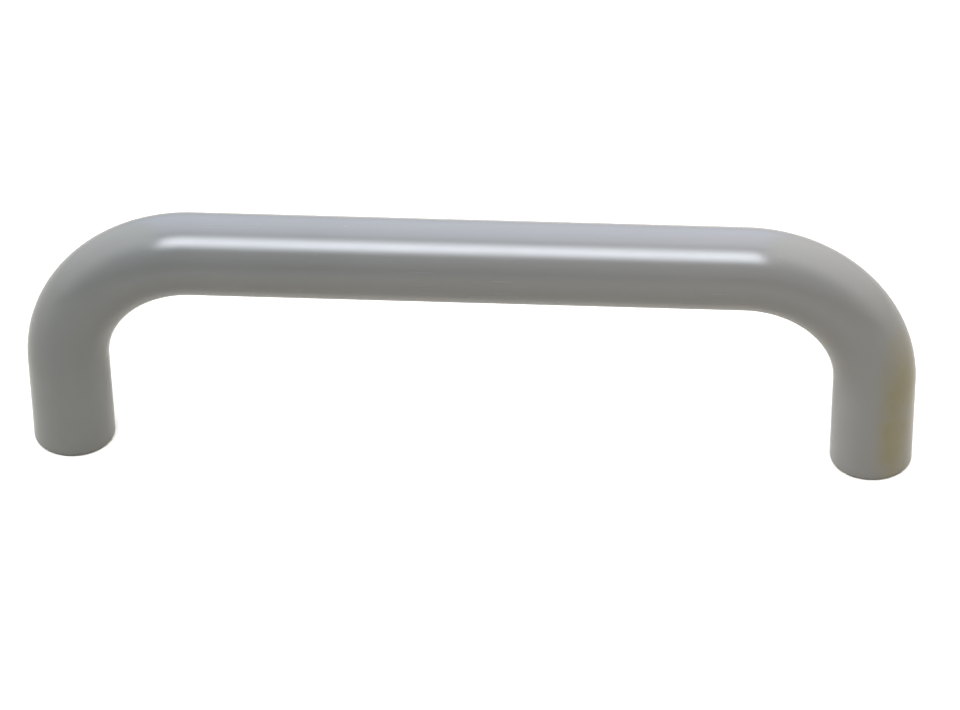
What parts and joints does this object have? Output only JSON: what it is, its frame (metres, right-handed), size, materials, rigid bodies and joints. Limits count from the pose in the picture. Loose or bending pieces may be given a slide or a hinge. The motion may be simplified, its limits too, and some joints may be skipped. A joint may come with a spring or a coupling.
{
  "type": "bow handle",
  "caption": "Grey moulded plastic bow handle: a straight round grip bent down at both ends into legs with flat feet, fastened by screws from behind the panel.",
  "frame": {"origin": "on the mounting plane, midway between the two screw holes", "axes": "+X along the grip, +Y across the grip, +Z away from the panel"},
  "size_m": [0.1058, 0.0098, 0.032],
  "materials": {
    "grey_plastic": "smooth moulded gloss"
  },
  "bodies": {
    "root": {"handle": "grey_plastic"}
  },
  "joints": []
}
